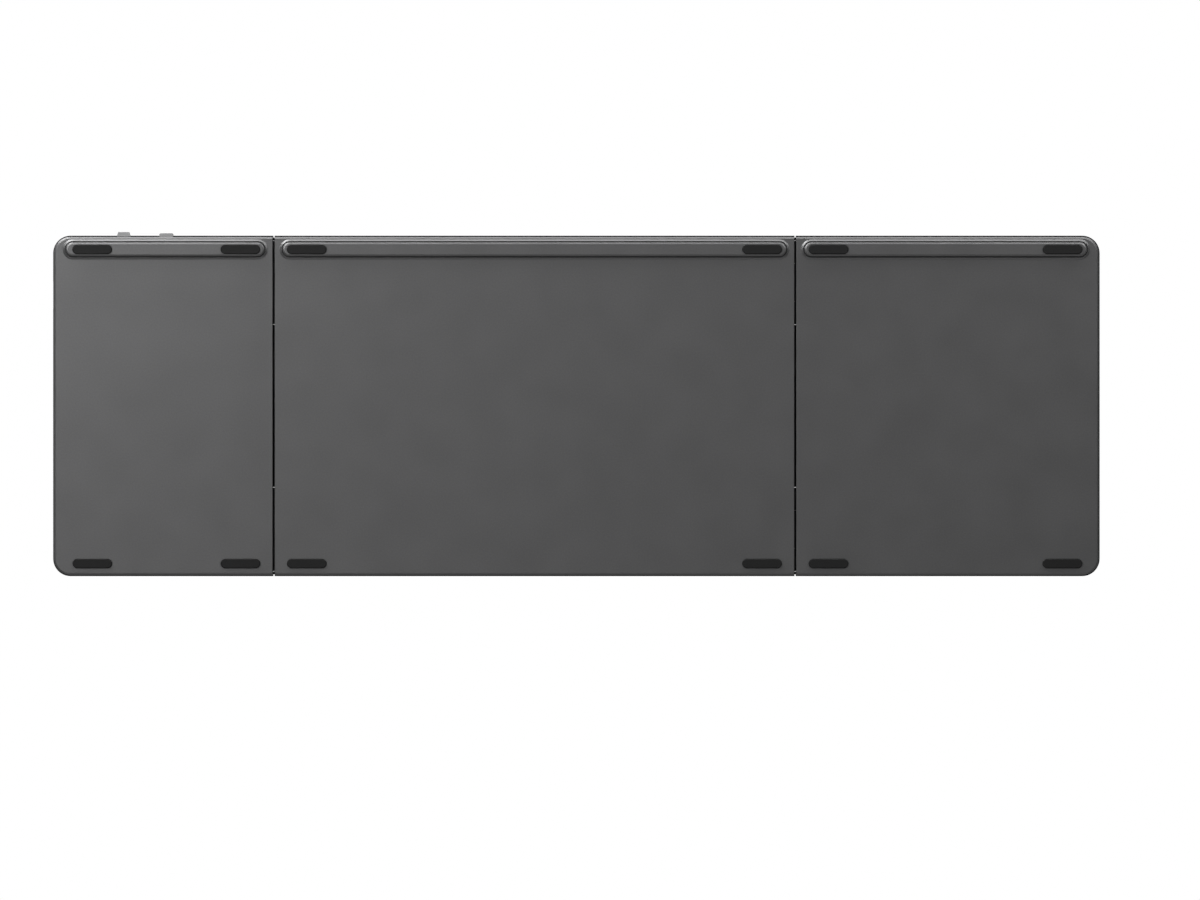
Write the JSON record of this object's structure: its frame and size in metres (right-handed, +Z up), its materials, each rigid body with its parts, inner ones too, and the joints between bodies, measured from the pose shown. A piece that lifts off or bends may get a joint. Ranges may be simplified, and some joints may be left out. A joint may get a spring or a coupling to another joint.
{
  "type": "folding keyboard",
  "caption": "Flat pocket keyboard in a middle panel and two wings that fold over it, with a touchpad and rubber feet.",
  "frame": {"origin": "Below the middle of the open keyboard, on the plane under the rear feet.", "axes": "+X to the keyboard's right, +Y to its rear edge, +Z up out of the keys."},
  "size_m": [0.3, 0.0986, 0.009],
  "materials": {
    "cover": "fine bead-blasted dark grey",
    "frame": "fine satin black-grey",
    "keycap": "fine satin black",
    "foot": "matt black",
    "screw": "plain steel",
    "hinge_leaf": "dark grey paint",
    "pin": "polished steel",
    "base_plate": "plain sheet",
    "dome": "milky silicone",
    "scissor": "white",
    "touchpad": "smooth satin",
    "battery": "foil pouch",
    "board": "green solder mask",
    "socket": "plated shell",
    "knob": "light grey",
    "ribbon": "black coverlay"
  },
  "bodies": {
    "middle_panel": {"middle_bottom_cover": "cover", "middle_top_frame": "frame", "middle_feet": "foot", "middle_screws": "screw", "middle_hinge_leaves": "hinge_leaf", "hinge_pins": "pin", "middle_base_plate": "base_plate", "middle_dome_sheet": "dome", "middle_scissors": "scissor", "flex_ribbons": "ribbon"},
    "left_wing": {"left_bottom_cover": "cover", "left_top_frame": "frame", "left_feet": "foot", "left_screws": "screw", "left_hinge_leaves": "hinge_leaf", "left_base_plate": "base_plate", "left_dome_sheet": "dome", "left_scissors": "scissor"},
    "right_wing": {"right_bottom_cover": "cover", "right_top_frame": "frame", "right_feet": "foot", "right_screws": "screw", "right_hinge_leaves": "hinge_leaf", "touchpad": "touchpad", "battery": "battery", "main_board": "board", "charging_socket": "socket"},
    "power_switch": {"power_switch": "knob"},
    "connect_button": {"connect_button": "knob"},
    "key_q": {"key_q": "keycap"},
    "key_w": {"key_w": "keycap"},
    "key_e": {"key_e": "keycap"},
    "key_r": {"key_r": "keycap"},
    "key_a": {"key_a": "keycap"},
    "key_s": {"key_s": "keycap"},
    "key_d": {"key_d": "keycap"},
    "key_f": {"key_f": "keycap"},
    "key_z": {"key_z": "keycap"},
    "key_x": {"key_x": "keycap"},
    "key_c": {"key_c": "keycap"},
    "key_v": {"key_v": "keycap"},
    "key_left_space": {"key_left_space": "keycap"},
    "key_t": {"key_t": "keycap"},
    "key_y": {"key_y": "keycap"},
    "key_u": {"key_u": "keycap"},
    "key_i": {"key_i": "keycap"},
    "key_o": {"key_o": "keycap"},
    "key_p": {"key_p": "keycap"},
    "key_g": {"key_g": "keycap"},
    "key_h": {"key_h": "keycap"},
    "key_j": {"key_j": "keycap"},
    "key_k": {"key_k": "keycap"},
    "key_l": {"key_l": "keycap"},
    "key_b": {"key_b": "keycap"},
    "key_n": {"key_n": "keycap"},
    "key_m": {"key_m": "keycap"},
    "key_middle_space": {"key_middle_space": "keycap"},
    "left_side_keys": {"left_side_keys": "keycap"},
    "middle_number_keys": {"middle_number_keys": "keycap"},
    "middle_side_keys": {"middle_side_keys": "keycap"}
  },
  "joints": [
    {"name": "fold_left_wing", "type": "hinge", "parent": "middle_panel", "child": "left_wing", "pos_m": [-0.0631, -0.0005, 0.0076], "axis": [0, 1, 0], "range_deg": [0, 180], "deforming": ["flex_ribbons"]},
    {"name": "fold_right_wing", "type": "hinge", "parent": "middle_panel", "child": "right_wing", "pos_m": [0.0871, -0.0005, 0.0076], "axis": [0, -1, 0], "range_deg": [0, 180], "deforming": ["flex_ribbons"]},
    {"name": "edge_button_press", "type": "slide", "parent": "right_wing", "child": "connect_button", "axis": [0, -1, 0], "range_m": [0, 0.0004], "stiffness_N_per_m": 1200, "springref_m": -0.0003},
    {"name": "edge_switch_slide", "type": "slide", "parent": "right_wing", "child": "power_switch", "axis": [-1, 0, 0], "range_m": [0, 0.002]},
    {"name": "key_a_press", "type": "slide", "parent": "left_wing", "child": "key_a", "axis": [0, 0, -1], "range_m": [0, 0.0012], "stiffness_N_per_m": 250, "springref_m": -0.0012, "deforming": ["left_dome_sheet", "left_scissors"]},
    {"name": "key_c_press", "type": "slide", "parent": "left_wing", "child": "key_c", "axis": [0, 0, -1], "range_m": [0, 0.0012], "stiffness_N_per_m": 250, "springref_m": -0.0012, "deforming": ["left_dome_sheet", "left_scissors"]},
    {"name": "key_d_press", "type": "slide", "parent": "left_wing", "child": "key_d", "axis": [0, 0, -1], "range_m": [0, 0.0012], "stiffness_N_per_m": 250, "springref_m": -0.0012, "deforming": ["left_dome_sheet", "left_scissors"]},
    {"name": "key_e_press", "type": "slide", "parent": "left_wing", "child": "key_e", "axis": [0, 0, -1], "range_m": [0, 0.0012], "stiffness_N_per_m": 250, "springref_m": -0.0012, "deforming": ["left_dome_sheet", "left_scissors"]},
    {"name": "key_f_press", "type": "slide", "parent": "left_wing", "child": "key_f", "axis": [0, 0, -1], "range_m": [0, 0.0012], "stiffness_N_per_m": 250, "springref_m": -0.0012, "deforming": ["left_dome_sheet", "left_scissors"]},
    {"name": "key_left_space_press", "type": "slide", "parent": "left_wing", "child": "key_left_space", "axis": [0, 0, -1], "range_m": [0, 0.0012], "stiffness_N_per_m": 250, "springref_m": -0.0012, "deforming": ["left_dome_sheet", "left_scissors"]},
    {"name": "key_q_press", "type": "slide", "parent": "left_wing", "child": "key_q", "axis": [0, 0, -1], "range_m": [0, 0.0012], "stiffness_N_per_m": 250, "springref_m": -0.0012, "deforming": ["left_dome_sheet", "left_scissors"]},
    {"name": "key_r_press", "type": "slide", "parent": "left_wing", "child": "key_r", "axis": [0, 0, -1], "range_m": [0, 0.0012], "stiffness_N_per_m": 250, "springref_m": -0.0012, "deforming": ["left_dome_sheet", "left_scissors"]},
    {"name": "key_s_press", "type": "slide", "parent": "left_wing", "child": "key_s", "axis": [0, 0, -1], "range_m": [0, 0.0012], "stiffness_N_per_m": 250, "springref_m": -0.0012, "deforming": ["left_dome_sheet", "left_scissors"]},
    {"name": "key_v_press", "type": "slide", "parent": "left_wing", "child": "key_v", "axis": [0, 0, -1], "range_m": [0, 0.0012], "stiffness_N_per_m": 250, "springref_m": -0.0012, "deforming": ["left_dome_sheet", "left_scissors"]},
    {"name": "key_w_press", "type": "slide", "parent": "left_wing", "child": "key_w", "axis": [0, 0, -1], "range_m": [0, 0.0012], "stiffness_N_per_m": 250, "springref_m": -0.0012, "deforming": ["left_dome_sheet", "left_scissors"]},
    {"name": "key_x_press", "type": "slide", "parent": "left_wing", "child": "key_x", "axis": [0, 0, -1], "range_m": [0, 0.0012], "stiffness_N_per_m": 250, "springref_m": -0.0012, "deforming": ["left_dome_sheet", "left_scissors"]},
    {"name": "key_z_press", "type": "slide", "parent": "left_wing", "child": "key_z", "axis": [0, 0, -1], "range_m": [0, 0.0012], "stiffness_N_per_m": 250, "springref_m": -0.0012, "deforming": ["left_dome_sheet", "left_scissors"]},
    {"name": "key_b_press", "type": "slide", "parent": "middle_panel", "child": "key_b", "axis": [0, 0, -1], "range_m": [0, 0.0012], "stiffness_N_per_m": 250, "springref_m": -0.0012, "deforming": ["middle_dome_sheet", "middle_scissors"]},
    {"name": "key_g_press", "type": "slide", "parent": "middle_panel", "child": "key_g", "axis": [0, 0, -1], "range_m": [0, 0.0012], "stiffness_N_per_m": 250, "springref_m": -0.0012, "deforming": ["middle_dome_sheet", "middle_scissors"]},
    {"name": "key_h_press", "type": "slide", "parent": "middle_panel", "child": "key_h", "axis": [0, 0, -1], "range_m": [0, 0.0012], "stiffness_N_per_m": 250, "springref_m": -0.0012, "deforming": ["middle_dome_sheet", "middle_scissors"]},
    {"name": "key_i_press", "type": "slide", "parent": "middle_panel", "child": "key_i", "axis": [0, 0, -1], "range_m": [0, 0.0012], "stiffness_N_per_m": 250, "springref_m": -0.0012, "deforming": ["middle_dome_sheet", "middle_scissors"]},
    {"name": "key_j_press", "type": "slide", "parent": "middle_panel", "child": "key_j", "axis": [0, 0, -1], "range_m": [0, 0.0012], "stiffness_N_per_m": 250, "springref_m": -0.0012, "deforming": ["middle_dome_sheet", "middle_scissors"]},
    {"name": "key_k_press", "type": "slide", "parent": "middle_panel", "child": "key_k", "axis": [0, 0, -1], "range_m": [0, 0.0012], "stiffness_N_per_m": 250, "springref_m": -0.0012, "deforming": ["middle_dome_sheet", "middle_scissors"]},
    {"name": "key_l_press", "type": "slide", "parent": "middle_panel", "child": "key_l", "axis": [0, 0, -1], "range_m": [0, 0.0012], "stiffness_N_per_m": 250, "springref_m": -0.0012, "deforming": ["middle_dome_sheet", "middle_scissors"]},
    {"name": "key_m_press", "type": "slide", "parent": "middle_panel", "child": "key_m", "axis": [0, 0, -1], "range_m": [0, 0.0012], "stiffness_N_per_m": 250, "springref_m": -0.0012, "deforming": ["middle_dome_sheet", "middle_scissors"]},
    {"name": "key_middle_space_press", "type": "slide", "parent": "middle_panel", "child": "key_middle_space", "axis": [0, 0, -1], "range_m": [0, 0.0012], "stiffness_N_per_m": 250, "springref_m": -0.0012, "deforming": ["middle_dome_sheet", "middle_scissors"]},
    {"name": "key_n_press", "type": "slide", "parent": "middle_panel", "child": "key_n", "axis": [0, 0, -1], "range_m": [0, 0.0012], "stiffness_N_per_m": 250, "springref_m": -0.0012, "deforming": ["middle_dome_sheet", "middle_scissors"]},
    {"name": "key_o_press", "type": "slide", "parent": "middle_panel", "child": "key_o", "axis": [0, 0, -1], "range_m": [0, 0.0012], "stiffness_N_per_m": 250, "springref_m": -0.0012, "deforming": ["middle_dome_sheet", "middle_scissors"]},
    {"name": "key_p_press", "type": "slide", "parent": "middle_panel", "child": "key_p", "axis": [0, 0, -1], "range_m": [0, 0.0012], "stiffness_N_per_m": 250, "springref_m": -0.0012, "deforming": ["middle_dome_sheet", "middle_scissors"]},
    {"name": "key_t_press", "type": "slide", "parent": "middle_panel", "child": "key_t", "axis": [0, 0, -1], "range_m": [0, 0.0012], "stiffness_N_per_m": 250, "springref_m": -0.0012, "deforming": ["middle_dome_sheet", "middle_scissors"]},
    {"name": "key_u_press", "type": "slide", "parent": "middle_panel", "child": "key_u", "axis": [0, 0, -1], "range_m": [0, 0.0012], "stiffness_N_per_m": 250, "springref_m": -0.0012, "deforming": ["middle_dome_sheet", "middle_scissors"]},
    {"name": "key_y_press", "type": "slide", "parent": "middle_panel", "child": "key_y", "axis": [0, 0, -1], "range_m": [0, 0.0012], "stiffness_N_per_m": 250, "springref_m": -0.0012, "deforming": ["middle_dome_sheet", "middle_scissors"]},
    {"name": "left_side_keys_press", "type": "slide", "parent": "left_wing", "child": "left_side_keys", "axis": [0, 0, -1], "range_m": [0, 0.0012], "stiffness_N_per_m": 3000, "springref_m": -0.0012, "deforming": ["left_dome_sheet", "left_scissors"]},
    {"name": "middle_number_keys_press", "type": "slide", "parent": "middle_panel", "child": "middle_number_keys", "axis": [0, 0, -1], "range_m": [0, 0.0012], "stiffness_N_per_m": 2250, "springref_m": -0.0012, "deforming": ["middle_dome_sheet", "middle_scissors"]},
    {"name": "middle_side_keys_press", "type": "slide", "parent": "middle_panel", "child": "middle_side_keys", "axis": [0, 0, -1], "range_m": [0, 0.0012], "stiffness_N_per_m": 4000, "springref_m": -0.0012, "deforming": ["middle_dome_sheet", "middle_scissors"]}
  ]
}
